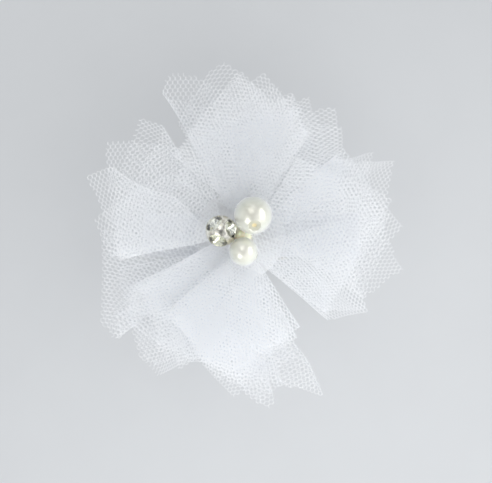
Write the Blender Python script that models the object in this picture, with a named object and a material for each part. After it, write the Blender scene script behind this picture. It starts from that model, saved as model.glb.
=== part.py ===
"""Flower hair clip: a folded tulle flower with a bead centre on a sprung alligator clip.

Metres, +Z up.  The clip's flat underside lies on Z = 0 below the flower's centre.  The jaws
point to -X and the lever to +X.  The lower arm stays still; the upper arm turns on the hinge
pin about Y and carries the ribbon lining, the felt and the flower.
"""

import math

import bmesh
import bpy
from mathutils import Matrix, Vector

MM = 0.001

# Clip arms: stamped strips
SHEET = 0.6 * MM
TIP_X = -20.0 * MM
LEVER_END_X = 25.0 * MM
TAIL_END_X = 24.5 * MM
END_RADIUS = 2.5 * MM
TIP_HALF_WIDTH = 3.0 * MM
UPPER_HALF_WIDTH = 4.6 * MM
LOWER_HALF_WIDTH = 3.7 * MM
TAPER_END_X = 2.0 * MM
NOSE_HEIGHT = 2.6 * MM
PLATFORM_HEIGHT = 6.7 * MM
ARCH_END_X = -8.0 * MM
LEVER_BEND_X = 8.0 * MM
LEVER_BEND_LENGTH = 2.0 * MM
LEVER_RISE = math.radians(9.0)

# Hinge
HINGE_X = 9.0 * MM
HINGE_Z = 4.0 * MM
PIN_RADIUS = 0.8 * MM
PIN_HOLE_RADIUS = 0.86 * MM
PIN_HEAD_RADIUS = 1.4 * MM
PIN_HEAD_THICKNESS = 0.45 * MM
UPPER_EAR_RADIUS = 2.2 * MM
UPPER_EAR_INNER_Y = 3.95 * MM
UPPER_EAR_OUTER_Y = 4.55 * MM
LOWER_EAR_RADIUS = 2.1 * MM
LOWER_EAR_INNER_Y = 3.05 * MM
LOWER_EAR_OUTER_Y = 3.65 * MM
PIN_HALF_LENGTH = 5.3 * MM
ROUND_SIDES = 20

# Grip teeth on the lower jaw's two edges
TOOTH_COUNT = 5
TOOTH_PITCH = 1.5 * MM
TOOTH_FIRST_X = -18.2 * MM
TOOTH_TOP_Z = 1.4 * MM
TOOTH_HALF_LENGTH = 0.6 * MM
TOOTH_INNER_Y = 1.7 * MM
TOOTH_OUTER_Y = 2.3 * MM

# Torsion spring round the pin
SPRING_WIRE_RADIUS = 0.35 * MM
SPRING_COIL_RADIUS = 1.5 * MM
SPRING_TURNS = 4.5
SPRING_HALF_WIDTH = 1.9 * MM
SPRING_LEG_LENGTH = 6.5 * MM
SPRING_LEG_SPREAD = 1.0 * MM

# Ribbon lining, glue and felt
RIBBON_THICKNESS = 0.4 * MM
RIBBON_HALF_WIDTH = 4.7 * MM
RIBBON_OFFSET = 0.7 * MM
RIBBON_INNER_END_X = 4.8 * MM
RIBBON_LEVER_END_X = 17.0 * MM
GLUE_BOTTOM = 7.8 * MM
GLUE_TOP = 8.5 * MM
GLUE_HALF_LENGTH = 6.8 * MM
GLUE_HALF_WIDTH = 4.2 * MM
FELT_RADIUS = 9.5 * MM
FELT_BOTTOM = 8.7 * MM
FELT_THICKNESS = 1.2 * MM

# Tulle petals: a lower and an upper tier of five folded squares
PETAL_ROOT_RADIUS = 3.6 * MM
PETAL_RINGS = 4
LOWER_TIER_HEIGHT = 11.5 * MM
LOWER_TIER_SLOPE = 0.02
LOWER_TIER_THICKNESS = 1.8 * MM
UPPER_TIER_HEIGHT = 14.0 * MM
UPPER_TIER_SLOPE = 0.13
UPPER_TIER_THICKNESS = 2.4 * MM

# Each petal's outline as (azimuth in degrees from +X, radius in mm), anticlockwise
LOWER_PETALS = {
    "lower_petal_upper_left": [
        (92, 33.0), (94.7, 36.0), (99, 33.5), (107.5, 36.4), (111, 36.8), (117.5, 34.5),
        (121, 30.5), (127, 31.7), (137, 31.2), (142, 29.0), (148, 29.0),
    ],
    "lower_petal_upper_right": [
        (20.5, 33.5), (26, 35.8), (33, 31.4), (39, 28.5), (45.6, 30.4), (55, 32.8),
        (61.7, 31.1), (74, 28.0), (90.5, 27.0),
    ],
    "lower_petal_right": [
        (-50, 22.5), (-38, 23.5), (-31.5, 29.0), (-19.5, 29.7), (-11.7, 34.2), (2.9, 33.5),
        (9.3, 32.4), (19, 33.0),
    ],
    "lower_petal_bottom": [
        (239.5, 31.0), (250, 27.0), (262, 29.0), (273, 31.0), (286, 27.0), (296, 25.0),
        (308, 22.5),
    ],
    "lower_petal_lower_left": [
        (149.5, 29.0), (160, 31.5), (176, 29.0), (192, 30.1), (202, 32.5), (211.5, 35.8),
        (218, 33.0), (222, 29.9), (229, 33.0), (235.8, 34.9), (238, 33.0),
    ],
}
UPPER_PETALS = {
    "upper_petal_top": [
        (58, 26.2), (62.7, 30.8), (73, 31.4), (78, 34.4), (87.5, 33.9), (91, 33.4),
        (109, 27.0), (129, 22.3),
    ],
    "upper_petal_right": [
        (-43, 24.9), (-35, 24.6), (-31.5, 30.3), (-19.5, 29.7), (-8, 30.5), (9, 32.0),
        (18, 33.7), (33, 26.6), (55.5, 23.2),
    ],
    "upper_petal_bottom": [
        (228.5, 22.6), (240, 28.0), (255, 28.3), (260, 29.9), (278.7, 36.2), (282, 27.3),
        (293.2, 32.1), (297, 38.4),
    ],
    "upper_petal_lower_left": [
        (193.5, 25.5), (203, 29.0), (209, 32.5), (218, 33.0), (226.5, 24.0),
    ],
    "upper_petal_left": [
        (131.5, 24.0), (141, 30.5), (146, 34.3), (151, 30.9), (159, 34.1), (166, 34.3),
        (180, 30.5), (191, 30.0),
    ],
}

# Winding that binds the petal roots, and the glue under the beads
BINDING_RADIUS = 2.9 * MM
BINDING_BOTTOM = 10.2 * MM
BINDING_TURNS = 5
BINDING_PITCH = 0.85 * MM
BEAD_GLUE_RADIUS = 2.4 * MM
BEAD_GLUE_BOTTOM = 14.8 * MM
BEAD_GLUE_HEIGHT = 0.9 * MM

# Beads
PEARL_BORE_RADIUS = 0.5 * MM
PEARL_RIM_RADIUS = 1.05 * MM
PEARL_RIM_DEPTH = 0.25 * MM
LARGE_PEARL_RADIUS = 4.0 * MM
LARGE_PEARL_CENTRE = Vector((2.75, 4.1, 19.75)) * MM
LARGE_PEARL_AXIS = Vector((0.09, -0.54, 0.84))
SMALL_PEARL_RADIUS = 3.0 * MM
SMALL_PEARL_CENTRE = Vector((0.75, -3.5, 18.55)) * MM
SMALL_PEARL_AXIS = Vector((0.9, -0.35, 0.1))
BALL_RADIUS = 3.25 * MM
BALL_CENTRE = Vector((-3.95, 0.85, 18.85)) * MM
BALL_TURN = math.radians(13.0)
BALL_BORE_RADIUS = 0.5 * MM
POCKET_RADIUS = 1.78 * MM
POCKET_FLOOR = 1.88 * MM

# Crystals: heights from the ball's centre along each pocket's axis
CRYSTAL_SIDES = 8
CRYSTAL_RADIUS = 1.65 * MM
CRYSTAL_TABLE_RADIUS = 0.9 * MM
CRYSTAL_CULET_RADIUS = 0.35 * MM
CRYSTAL_BACK = 2.0 * MM
CRYSTAL_GIRDLE = 2.4 * MM
CRYSTAL_GIRDLE_TOP = 2.5 * MM
CRYSTAL_TABLE = 3.1 * MM


def finish(name, colour, roughness, metallic=0.0):
    """A plain material: base colour, roughness and metallic value."""
    material = bpy.data.materials.new(name)
    material.use_nodes = True
    shader = material.node_tree.nodes["Principled BSDF"]
    shader.inputs["Base Color"].default_value = (*colour, 1.0)
    shader.inputs["Roughness"].default_value = roughness
    shader.inputs["Metallic"].default_value = metallic
    return material


def solid(name, vertices, faces, material, pivot=None, smooth=False):
    """One closed body from world-space points, its faces turned outwards."""
    mesh = bpy.data.meshes.new(name)
    mesh.from_pydata(vertices, [], faces)
    shape = bmesh.new()
    shape.from_mesh(mesh)
    bmesh.ops.recalc_face_normals(shape, faces=shape.faces)
    shape.to_mesh(mesh)
    shape.free()
    mesh.materials.append(material)
    if smooth:
        mesh.shade_smooth()
        mesh.set_sharp_from_angle(angle=math.radians(40.0))
    piece = bpy.data.objects.new(name, mesh)
    bpy.context.scene.collection.objects.link(piece)
    if pivot is not None:
        piece.parent = pivot
        piece.matrix_parent_inverse = Matrix.Translation(pivot.location).inverted()
    return piece


def combine(piece, tool, operation):
    """Applies one exact Boolean to the piece and removes the tool."""
    modifier = piece.modifiers.new(operation.lower(), "BOOLEAN")
    modifier.operation = operation
    modifier.solver = "EXACT"
    modifier.object = tool
    bpy.context.view_layer.update()
    scene_graph = bpy.context.evaluated_depsgraph_get()
    result = bpy.data.meshes.new_from_object(piece.evaluated_get(scene_graph))
    piece.modifiers.clear()
    piece.data = result
    bpy.data.objects.remove(tool)


def strip(name, path, half_widths, thickness, material, pivot=None):
    """A flat strip of sheet: a path of (x, z) points, with a half width in Y at each."""
    vertices = []
    for index, (x, z) in enumerate(path):
        before = path[max(index - 1, 0)]
        after = path[min(index + 1, len(path) - 1)]
        length = math.hypot(after[0] - before[0], after[1] - before[1])
        normal_x = -(after[1] - before[1]) / length * thickness / 2
        normal_z = (after[0] - before[0]) / length * thickness / 2
        width = half_widths[index]
        for side, sign in ((-width, -1), (width, -1), (width, 1), (-width, 1)):
            vertices.append((x + sign * normal_x, side, z + sign * normal_z))
    faces = [(0, 1, 2, 3)]
    for index in range(len(path) - 1):
        start = 4 * index
        for corner in range(4):
            following = (corner + 1) % 4
            faces.append((start + corner, start + following,
                          start + 4 + following, start + 4 + corner))
    last = 4 * (len(path) - 1)
    faces.append((last, last + 1, last + 2, last + 3))
    return solid(name, vertices, faces, material, pivot)


def plate(name, outline, low_y, high_y, material, pivot=None):
    """A plate with an outline of (x, z) points, between two Y values."""
    count = len(outline)
    vertices = [(x, low_y, z) for x, z in outline] + [(x, high_y, z) for x, z in outline]
    faces = [tuple(range(count)), tuple(range(count, 2 * count))]
    for index in range(count):
        following = (index + 1) % count
        faces.append((index, following, count + following, count + index))
    return solid(name, vertices, faces, material, pivot)


def turned(name, profile, centre, axis, sides, material, pivot=None, closed=False):
    """A turned body: (radius, height) points round an axis.

    An open profile starts and ends on the axis, with radius 0; a closed one never meets it.
    """
    tilt = Vector(axis).normalized().to_track_quat("Z", "Y").to_matrix()
    centre = Vector(centre)
    vertices = []
    rings = []
    for radius, height in profile:
        if radius == 0:
            rings.append([len(vertices)])
            vertices.append(centre + tilt @ Vector((0, 0, height)))
            continue
        rings.append(list(range(len(vertices), len(vertices) + sides)))
        for side in range(sides):
            angle = 2 * math.pi * side / sides
            point = Vector((radius * math.cos(angle), radius * math.sin(angle), height))
            vertices.append(centre + tilt @ point)
    pairs = list(zip(rings, rings[1:]))
    if closed:
        pairs.append((rings[-1], rings[0]))
    faces = []
    for lower, upper in pairs:
        for side in range(sides):
            following = (side + 1) % sides
            if len(lower) == 1:
                faces.append((lower[0], upper[following], upper[side]))
            elif len(upper) == 1:
                faces.append((lower[side], lower[following], upper[0]))
            else:
                faces.append((lower[side], lower[following], upper[following], upper[side]))
    return solid(name, vertices, faces, material, pivot, smooth=True)


def arc(centre_x, centre_z, radius, start, end, steps):
    """Points on an arc in the XZ plane, angles in degrees from +X towards +Z."""
    points = []
    for step in range(steps + 1):
        angle = math.radians(start + (end - start) * step / steps)
        points.append((centre_x + radius * math.cos(angle), centre_z + radius * math.sin(angle)))
    return points


def end_distances():
    """Distances from a strip's rounded end at which it has a station."""
    return [0.0, 0.15 * END_RADIUS, 0.4 * END_RADIUS, 0.7 * END_RADIUS, END_RADIUS]


def upper_arm_height(x):
    """Height of the upper arm's middle surface: nose, arch, platform, bend, lever."""
    if x < ARCH_END_X:
        share = max(x - TIP_X, 0.0) / (ARCH_END_X - TIP_X)
        return NOSE_HEIGHT + (PLATFORM_HEIGHT - NOSE_HEIGHT) * share * share * (3 - 2 * share)
    bend_start = LEVER_BEND_X - LEVER_BEND_LENGTH / 2
    slope = math.tan(LEVER_RISE)
    if x <= bend_start:
        return PLATFORM_HEIGHT
    if x < bend_start + LEVER_BEND_LENGTH:
        return PLATFORM_HEIGHT + slope * (x - bend_start) ** 2 / (2 * LEVER_BEND_LENGTH)
    return PLATFORM_HEIGHT + slope * (x - LEVER_BEND_X)


def upper_arm_stations():
    """X values of the upper arm's stations, tip to lever end."""
    stations = [TIP_X + distance for distance in end_distances()]
    arch_start = TIP_X + END_RADIUS
    arch_steps = 8
    for step in range(1, arch_steps + 1):
        stations.append(arch_start + (ARCH_END_X - arch_start) * step / arch_steps)
    stations.append(TAPER_END_X)
    bend_start = LEVER_BEND_X - LEVER_BEND_LENGTH / 2
    stations += [bend_start, LEVER_BEND_X, bend_start + LEVER_BEND_LENGTH]
    stations += [LEVER_END_X - distance for distance in reversed(end_distances())]
    return stations


def half_width(x, tip_x, end_x, main):
    """Half width of an arm: tapered towards the tip, both ends rounded."""
    share = min(max((x - tip_x) / (TAPER_END_X - tip_x), 0.0), 1.0)
    width = TIP_HALF_WIDTH + (main - TIP_HALF_WIDTH) * share
    from_end = min(x - tip_x, end_x - x)
    if from_end < END_RADIUS:
        inset = END_RADIUS - from_end
        width -= END_RADIUS - math.sqrt(max(END_RADIUS ** 2 - inset ** 2, 0.0))
    return width


def ear_outline(radius, base_points):
    """A hinge ear: a half round about the pin, closed by the base points."""
    if base_points[0][1] < HINGE_Z:
        return arc(HINGE_X, HINGE_Z, radius, 0, 180, 10) + base_points
    return arc(HINGE_X, HINGE_Z, radius, 180, 360, 10) + base_points


def drill_hinge(arm):
    """Bores the pin hole through both ears of an arm."""
    reach = PIN_HALF_LENGTH + SHEET
    hole = turned("hinge_drill", [(0, -reach), (PIN_HOLE_RADIUS, -reach),
                                  (PIN_HOLE_RADIUS, reach), (0, reach)],
                  (HINGE_X, 0, HINGE_Z), (0, 1, 0), ROUND_SIDES, arm.data.materials[0])
    combine(arm, hole, "DIFFERENCE")


def add_ears(arm, outline, inner_y, outer_y):
    """Joins a mirrored pair of ears to an arm."""
    for low_y, high_y in ((-outer_y, -inner_y), (inner_y, outer_y)):
        ear = plate("ear", outline, low_y, high_y, arm.data.materials[0])
        combine(arm, ear, "UNION")


def build_lower_arm(steel):
    """The lower jaw: a flat strip with grip teeth and two upright ears."""
    stations = [TIP_X + distance for distance in end_distances()]
    stations += [TAPER_END_X]
    stations += [TAIL_END_X - distance for distance in reversed(end_distances())]
    path = [(x, SHEET / 2) for x in stations]
    widths = [half_width(x, TIP_X, TAIL_END_X, LOWER_HALF_WIDTH) for x in stations]
    arm = strip("lower_arm", path, widths, SHEET, steel)
    base = [(HINGE_X - LOWER_EAR_RADIUS, SHEET / 2), (HINGE_X + LOWER_EAR_RADIUS, SHEET / 2)]
    add_ears(arm, ear_outline(LOWER_EAR_RADIUS, base), LOWER_EAR_INNER_Y, LOWER_EAR_OUTER_Y)
    for tooth in range(TOOTH_COUNT):
        x = TOOTH_FIRST_X + tooth * TOOTH_PITCH
        outline = [(x - TOOTH_HALF_LENGTH, SHEET / 2), (x + TOOTH_HALF_LENGTH, SHEET / 2),
                   (x, TOOTH_TOP_Z)]
        for low_y, high_y in ((-TOOTH_OUTER_Y, -TOOTH_INNER_Y), (TOOTH_INNER_Y, TOOTH_OUTER_Y)):
            combine(arm, plate("tooth", outline, low_y, high_y, steel), "UNION")
    drill_hinge(arm)


def build_upper_arm(steel, pivot):
    """The arched upper jaw, its flat platform, its lever and two hanging ears."""
    stations = upper_arm_stations()
    path = [(x, upper_arm_height(x)) for x in stations]
    widths = [half_width(x, TIP_X, LEVER_END_X, UPPER_HALF_WIDTH) for x in stations]
    arm = strip("upper_arm", path, widths, SHEET, steel, pivot)
    corner_x = HINGE_X + UPPER_EAR_RADIUS
    base = [(corner_x, upper_arm_height(corner_x)), (LEVER_BEND_X, PLATFORM_HEIGHT),
            (HINGE_X - UPPER_EAR_RADIUS, PLATFORM_HEIGHT)]
    add_ears(arm, ear_outline(UPPER_EAR_RADIUS, base), UPPER_EAR_INNER_Y, UPPER_EAR_OUTER_Y)
    drill_hinge(arm)


def build_hinge_pin(steel):
    """The rivet the upper arm turns on."""
    shoulder = PIN_HALF_LENGTH - PIN_HEAD_THICKNESS
    crown = 0.6 * PIN_HEAD_RADIUS
    profile = [(0, -PIN_HALF_LENGTH), (crown, -PIN_HALF_LENGTH),
               (PIN_HEAD_RADIUS, -shoulder - 0.3 * PIN_HEAD_THICKNESS),
               (PIN_HEAD_RADIUS, -shoulder), (PIN_RADIUS, -shoulder), (PIN_RADIUS, shoulder),
               (PIN_HEAD_RADIUS, shoulder),
               (PIN_HEAD_RADIUS, shoulder + 0.3 * PIN_HEAD_THICKNESS),
               (crown, PIN_HALF_LENGTH), (0, PIN_HALF_LENGTH)]
    turned("hinge_pin", profile, (HINGE_X, 0, HINGE_Z), (0, 1, 0), ROUND_SIDES, steel)


def spring_centreline():
    """The torsion spring's wire: lower leg, coil round the pin, upper leg."""
    bottom = HINGE_Z - SPRING_COIL_RADIUS
    top = HINGE_Z + SPRING_COIL_RADIUS
    leg_x = HINGE_X + SPRING_LEG_LENGTH
    points = [Vector((leg_x, -SPRING_HALF_WIDTH, bottom - SPRING_LEG_SPREAD)),
              Vector((HINGE_X + 1.2 * MM, -SPRING_HALF_WIDTH, bottom))]
    steps = int(SPRING_TURNS * 14)
    for step in range(steps + 1):
        share = step / steps
        angle = -math.pi / 2 - 2 * math.pi * SPRING_TURNS * share
        points.append(Vector((HINGE_X + SPRING_COIL_RADIUS * math.cos(angle),
                              SPRING_HALF_WIDTH * (2 * share - 1),
                              HINGE_Z + SPRING_COIL_RADIUS * math.sin(angle))))
    points.append(Vector((HINGE_X + 1.2 * MM, SPRING_HALF_WIDTH, top)))
    points.append(Vector((leg_x, SPRING_HALF_WIDTH, top + SPRING_LEG_SPREAD)))
    return points


def build_spring(steel):
    """The torsion spring, a round wire along its centreline."""
    sides = 6
    points = spring_centreline()
    vertices = []
    across = Vector((0, 1, 0))
    for index, point in enumerate(points):
        along = points[min(index + 1, len(points) - 1)] - points[max(index - 1, 0)]
        outward = along.cross(across).normalized()
        side_way = outward.cross(along).normalized()
        for side in range(sides):
            angle = 2 * math.pi * side / sides
            vertices.append(point + SPRING_WIRE_RADIUS * (math.cos(angle) * outward
                                                          + math.sin(angle) * side_way))
    faces = [tuple(range(sides)), tuple(range(len(vertices) - sides, len(vertices)))]
    for index in range(len(points) - 1):
        start = index * sides
        for side in range(sides):
            following = (side + 1) % sides
            faces.append((start + side, start + following,
                          start + sides + following, start + sides + side))
    solid("torsion_spring", vertices, faces, steel, smooth=True)


def offset_path(points, distance):
    """The same path moved to its left by a distance."""
    moved = []
    for index, (x, z) in enumerate(points):
        before = points[max(index - 1, 0)]
        after = points[min(index + 1, len(points) - 1)]
        length = math.hypot(after[0] - before[0], after[1] - before[1])
        moved.append((x - distance * (after[1] - before[1]) / length,
                      z + distance * (after[0] - before[0]) / length))
    return moved


def build_ribbon(ribbon, pivot):
    """One ribbon from inside the jaw, round its tip, over the arm and round the lever's end."""
    arm = [(x, upper_arm_height(x)) for x in upper_arm_stations()[::2]]
    inner = [(x, z) for x, z in offset_path(arm, -RIBBON_OFFSET) if x < RIBBON_INNER_END_X]
    inner.append((RIBBON_INNER_END_X, PLATFORM_HEIGHT - RIBBON_OFFSET))
    over = offset_path(arm, RIBBON_OFFSET)
    tip_turn = arc(TIP_X, NOSE_HEIGHT, RIBBON_OFFSET, 270, 90, 6)[1:-1]
    rise = math.degrees(LEVER_RISE)
    end_turn = arc(*arm[-1], RIBBON_OFFSET, 90 + rise, rise - 90, 6)[1:]
    under_end = (RIBBON_LEVER_END_X,
                 upper_arm_height(RIBBON_LEVER_END_X) - RIBBON_OFFSET / math.cos(LEVER_RISE))
    path = inner[::-1] + tip_turn + over + end_turn + [under_end]
    widths = [RIBBON_HALF_WIDTH] * len(path)
    strip("ribbon_lining", path, widths, RIBBON_THICKNESS, ribbon, pivot)


def oval_pad(name, bottom, top, half_length, half_width_y, material, pivot):
    """A flat oval pad, its longer axis along X."""
    sides = 28
    rings = [(0.9, bottom), (1.0, bottom + (top - bottom) / 2), (0.9, top)]
    vertices = []
    for share, z in rings:
        for side in range(sides):
            angle = 2 * math.pi * side / sides
            vertices.append((share * half_length * math.cos(angle),
                             share * half_width_y * math.sin(angle), z))
    faces = [tuple(range(sides)), tuple(range(2 * sides, 3 * sides))]
    for start in (0, sides):
        for side in range(sides):
            following = (side + 1) % sides
            faces.append((start + side, start + following,
                          start + sides + following, start + sides + side))
    solid(name, vertices, faces, material, pivot)


def build_petal(name, outline, height, slope, thickness, tulle, pivot):
    """A fan-shaped pad that fills the space of one folded tulle square."""
    rim = []
    for (azimuth, radius), (next_azimuth, next_radius) in zip(outline, outline[1:]):
        start = math.radians(azimuth)
        end = math.radians(next_azimuth)
        a = Vector((radius * math.cos(start), radius * math.sin(start))) * MM
        b = Vector((next_radius * math.cos(end), next_radius * math.sin(end))) * MM
        rim.append(a)
        if next_azimuth - azimuth > 8.0:
            rim.append((a + b) / 2)
    rim.append(b)
    vertices = []
    for rim_point in rim:
        direction = rim_point.normalized()
        for ring in range(PETAL_RINGS + 1):
            share = ring / PETAL_RINGS
            radius = PETAL_ROOT_RADIUS + share * (rim_point.length - PETAL_ROOT_RADIUS)
            middle = height + slope * (radius - PETAL_ROOT_RADIUS)
            for z in (middle - thickness / 2, middle + thickness / 2):
                vertices.append((direction.x * radius, direction.y * radius, z))
    row = 2 * (PETAL_RINGS + 1)
    faces = []
    for ray in range(len(rim) - 1):
        for ring in range(PETAL_RINGS):
            for level in (0, 1):
                start = ray * row + 2 * ring + level
                faces.append((start, start + 2, start + row + 2, start + row))
        for ring in (0, PETAL_RINGS):
            start = ray * row + 2 * ring
            faces.append((start, start + 1, start + row + 1, start + row))
    for ray in (0, len(rim) - 1):
        for ring in range(PETAL_RINGS):
            start = ray * row + 2 * ring
            faces.append((start, start + 1, start + 3, start + 2))
    solid(name, vertices, faces, tulle, pivot)


def build_binding(thread, pivot):
    """The thread wound round the gathered petal roots, as one ribbed spool."""
    steps = 4
    profile = [(0, BINDING_BOTTOM)]
    for step in range(BINDING_TURNS * steps + 1):
        angle = math.pi * step / steps
        bulge = 0.25 * MM * abs(math.sin(angle))
        height = BINDING_BOTTOM + BINDING_PITCH * step / steps
        profile.append((BINDING_RADIUS + bulge, height))
    profile.append((0, BINDING_BOTTOM + BINDING_TURNS * BINDING_PITCH))
    turned("thread_binding", profile, (0, 0, 0), (0, 0, 1), 20, thread, pivot)


def bead_profile(radius, bore, rim, rim_depth, steps):
    """Half section of a drilled bead with a small dimple at each end of its bore."""
    start = math.asin(rim / radius)
    profile = []
    for step in range(steps + 1):
        angle = start + (math.pi - 2 * start) * step / steps
        profile.append((radius * math.sin(angle), radius * math.cos(angle)))
    end_height = radius * math.cos(start) - rim_depth
    return profile + [(bore, -end_height), (bore, end_height)]


def build_pearls(pearl, pivot):
    """The two drilled pearls."""
    for name, radius, centre, axis in (
        ("large_pearl", LARGE_PEARL_RADIUS, LARGE_PEARL_CENTRE, LARGE_PEARL_AXIS),
        ("small_pearl", SMALL_PEARL_RADIUS, SMALL_PEARL_CENTRE, SMALL_PEARL_AXIS),
    ):
        profile = bead_profile(radius, PEARL_BORE_RADIUS, PEARL_RIM_RADIUS, PEARL_RIM_DEPTH, 14)
        turned(name, profile, centre, axis, 28, pearl, pivot, closed=True)


def ball_axes():
    """Three square directions, tilted so that one corner of the set points straight up."""
    tilt = math.acos(1 / math.sqrt(3))
    axes = []
    for index in range(3):
        azimuth = BALL_TURN + index * 2 * math.pi / 3
        axes.append(Vector((math.sin(tilt) * math.cos(azimuth),
                            math.sin(tilt) * math.sin(azimuth), math.cos(tilt))))
    return axes


def pocket_directions():
    """The six ways that the ball's pockets face."""
    axes = ball_axes()
    return axes + [-axis for axis in axes]


def build_ball(silver, pivot):
    """The plated ball: six round pockets and a bore through two opposite corners."""
    steps = 16
    profile = []
    for step in range(steps + 1):
        angle = math.pi * step / steps
        radius = 0 if step in (0, steps) else BALL_RADIUS * math.sin(angle)
        profile.append((radius, BALL_RADIUS * math.cos(angle)))
    ball = turned("ball_setting", profile, BALL_CENTRE, (0, 0, 1), 32, silver, pivot)
    for direction in pocket_directions():
        cutter = turned("pocket_cutter", [(0, POCKET_FLOOR), (POCKET_RADIUS, POCKET_FLOOR),
                                          (POCKET_RADIUS, 2 * BALL_RADIUS), (0, 2 * BALL_RADIUS)],
                        BALL_CENTRE, direction, ROUND_SIDES, silver)
        combine(ball, cutter, "DIFFERENCE")
    axes = ball_axes()
    reach = 2 * BALL_RADIUS
    drill = turned("ball_drill", [(0, -reach), (BALL_BORE_RADIUS, -reach),
                                  (BALL_BORE_RADIUS, reach), (0, reach)],
                   BALL_CENTRE, axes[0] + axes[1] - axes[2], 12, silver)
    combine(ball, drill, "DIFFERENCE")


def build_crystals(crystal, pivot):
    """Six round cut stones, one in each pocket."""
    profile = [(0, CRYSTAL_BACK), (CRYSTAL_CULET_RADIUS, CRYSTAL_BACK),
               (CRYSTAL_RADIUS, CRYSTAL_GIRDLE), (CRYSTAL_RADIUS, CRYSTAL_GIRDLE_TOP),
               (CRYSTAL_TABLE_RADIUS, CRYSTAL_TABLE), (0, CRYSTAL_TABLE)]
    for index, direction in enumerate(pocket_directions()):
        stone = turned(f"crystal_{index + 1}", profile, BALL_CENTRE, direction, CRYSTAL_SIDES,
                       crystal, pivot)
        stone.data.shade_flat()


def build_bead_glue(glue, pivot):
    """The low dome of glue that the beads sit on."""
    steps = 4
    profile = [(0, BEAD_GLUE_BOTTOM)]
    for step in range(steps + 1):
        angle = math.pi / 2 * step / steps
        radius = 0 if step == steps else BEAD_GLUE_RADIUS * math.cos(angle)
        height = 0.2 * MM + BEAD_GLUE_HEIGHT * math.sin(angle)
        profile.append((radius, BEAD_GLUE_BOTTOM + height))
    profile.insert(1, (BEAD_GLUE_RADIUS, BEAD_GLUE_BOTTOM))
    turned("bead_glue", profile, (0, 0, 0), (0, 0, 1), 20, glue, pivot)


def main():
    for old in list(bpy.data.objects):
        bpy.data.objects.remove(old)
    nickel = finish("nickel_steel", (0.72, 0.71, 0.69), 0.28, 1.0)
    spring_steel = finish("spring_steel", (0.55, 0.55, 0.56), 0.35, 1.0)
    silver = finish("silver_plate", (0.86, 0.84, 0.78), 0.15, 1.0)
    pearl = finish("ivory_pearl", (0.90, 0.88, 0.80), 0.18)
    crystal = finish("crystal", (0.93, 0.94, 0.92), 0.03)
    tulle = finish("white_tulle", (0.90, 0.92, 0.94), 0.7)
    ribbon = finish("white_ribbon", (0.90, 0.90, 0.91), 0.55)
    felt = finish("white_felt", (0.88, 0.88, 0.88), 0.95)
    thread = finish("white_thread", (0.88, 0.88, 0.88), 0.6)
    glue = finish("clear_glue", (0.85, 0.80, 0.62), 0.2)

    pivot = bpy.data.objects.new("hinge_pivot", None)
    pivot.location = (HINGE_X, 0.0, HINGE_Z)
    bpy.context.scene.collection.objects.link(pivot)

    build_lower_arm(nickel)
    build_hinge_pin(nickel)
    build_spring(spring_steel)
    build_upper_arm(nickel, pivot)
    build_ribbon(ribbon, pivot)
    oval_pad("clip_glue", GLUE_BOTTOM, GLUE_TOP, GLUE_HALF_LENGTH, GLUE_HALF_WIDTH, glue, pivot)
    felt_top = FELT_BOTTOM + FELT_THICKNESS
    turned("felt_base", [(0, FELT_BOTTOM), (FELT_RADIUS, FELT_BOTTOM), (FELT_RADIUS, felt_top),
                         (0, felt_top)], (0, 0, 0), (0, 0, 1), 36, felt, pivot)
    for name, outline in LOWER_PETALS.items():
        build_petal(name, outline, LOWER_TIER_HEIGHT, LOWER_TIER_SLOPE, LOWER_TIER_THICKNESS,
                    tulle, pivot)
    for name, outline in UPPER_PETALS.items():
        build_petal(name, outline, UPPER_TIER_HEIGHT, UPPER_TIER_SLOPE, UPPER_TIER_THICKNESS,
                    tulle, pivot)
    build_binding(thread, pivot)
    build_bead_glue(glue, pivot)
    build_pearls(pearl, pivot)
    build_ball(silver, pivot)
    build_crystals(crystal, pivot)


main()
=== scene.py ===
import math
import random

import bmesh
import bpy
import numpy as np
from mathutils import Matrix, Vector


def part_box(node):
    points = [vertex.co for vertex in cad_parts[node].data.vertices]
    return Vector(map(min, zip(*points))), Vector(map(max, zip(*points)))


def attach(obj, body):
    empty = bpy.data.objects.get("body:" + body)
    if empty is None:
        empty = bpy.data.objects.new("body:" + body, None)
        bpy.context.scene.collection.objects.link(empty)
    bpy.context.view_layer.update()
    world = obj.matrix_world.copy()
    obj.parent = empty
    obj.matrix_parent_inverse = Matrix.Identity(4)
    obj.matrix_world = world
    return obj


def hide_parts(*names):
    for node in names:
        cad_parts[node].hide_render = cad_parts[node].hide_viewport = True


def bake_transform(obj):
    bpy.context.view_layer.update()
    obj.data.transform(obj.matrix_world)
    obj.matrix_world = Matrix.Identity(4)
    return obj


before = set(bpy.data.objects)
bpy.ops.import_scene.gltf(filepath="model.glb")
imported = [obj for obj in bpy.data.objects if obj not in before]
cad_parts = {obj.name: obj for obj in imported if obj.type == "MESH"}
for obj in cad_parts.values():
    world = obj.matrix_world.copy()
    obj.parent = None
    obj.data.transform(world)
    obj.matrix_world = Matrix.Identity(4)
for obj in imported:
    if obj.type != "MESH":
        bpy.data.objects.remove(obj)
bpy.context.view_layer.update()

MM = 0.001

# Netting: hexagonal holes made by zigzag threads, in cut squares. Where two threads run side by
# side, each lies THREAD_SHIFT off the line between them. The cut edges wander a little.
SQUARE = 45.0 * MM
NET_PITCH = 0.9 * MM
THREAD_WIDTH = 0.074 * MM
THREAD_HEIGHT = 0.144 * MM
THREAD_SHIFT = 0.35 * THREAD_WIDTH
THREAD_SIDES = 4
THREAD_TRANSLUCENCY = 0.4
ROOT_HOLE = 1.6 * MM
EDGE_WANDER = 0.25 * MM
WANDER_LENGTH = 6.5 * MM

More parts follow.
